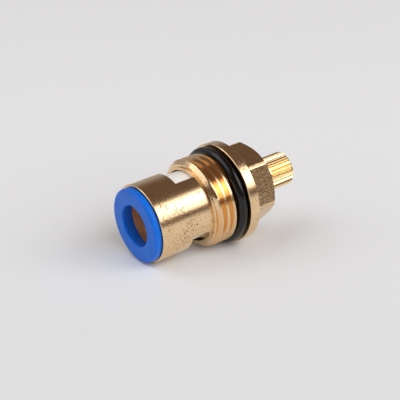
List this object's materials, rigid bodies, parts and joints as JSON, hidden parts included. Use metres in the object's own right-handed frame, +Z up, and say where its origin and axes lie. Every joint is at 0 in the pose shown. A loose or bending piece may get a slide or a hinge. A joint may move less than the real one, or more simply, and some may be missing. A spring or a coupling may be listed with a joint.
{
  "type": "ceramic disc tap cartridge",
  "caption": "Ceramic disc tap cartridge: brass body with inlet seal, side outlet windows, threaded head, sealing ring, spanner hexagon and splined spindle.",
  "frame": {"origin": "Middle of the cartridge's length, on the turning axis, which is also the centre of its box.", "axes": "+X runs along the turning axis from the inlet seal to the splined end of the spindle. +Z is up as the cartridge lies, with the upper outlet window turned 21.1 degrees about X from +Z towards +Y."},
  "size_m": [0.0426, 0.0236, 0.0236],
  "materials": {
    "body_brass": "turned and milled, fine pores, unpolished",
    "ring_brass": "turned, dull",
    "spindle_brass": "bright rolled spline",
    "black_rubber": "smooth moulded",
    "blue_rubber": "smooth moulded, soft sheen",
    "ceramic": "fired and ground, matt",
    "spring_steel": "stamped",
    "white_plastic": "moulded"
  },
  "bodies": {
    "body": {"valve_body": "body_brass", "flange_o_ring": "black_rubber", "inlet_seal": "blue_rubber", "seal_support_ring": "ring_brass", "fixed_disc": "ceramic", "slide_washer": "white_plastic"},
    "spindle": {"spindle": "spindle_brass", "moving_disc": "ceramic", "spindle_circlip": "spring_steel", "spindle_o_ring_inner": "black_rubber", "spindle_o_ring_outer": "black_rubber"}
  },
  "joints": [
    {"name": "spindle_turn", "type": "hinge", "parent": "body", "child": "spindle", "pos_m": [0, 0, 0], "axis": [1, 0, 0], "range_deg": [0, 90]}
  ]
}
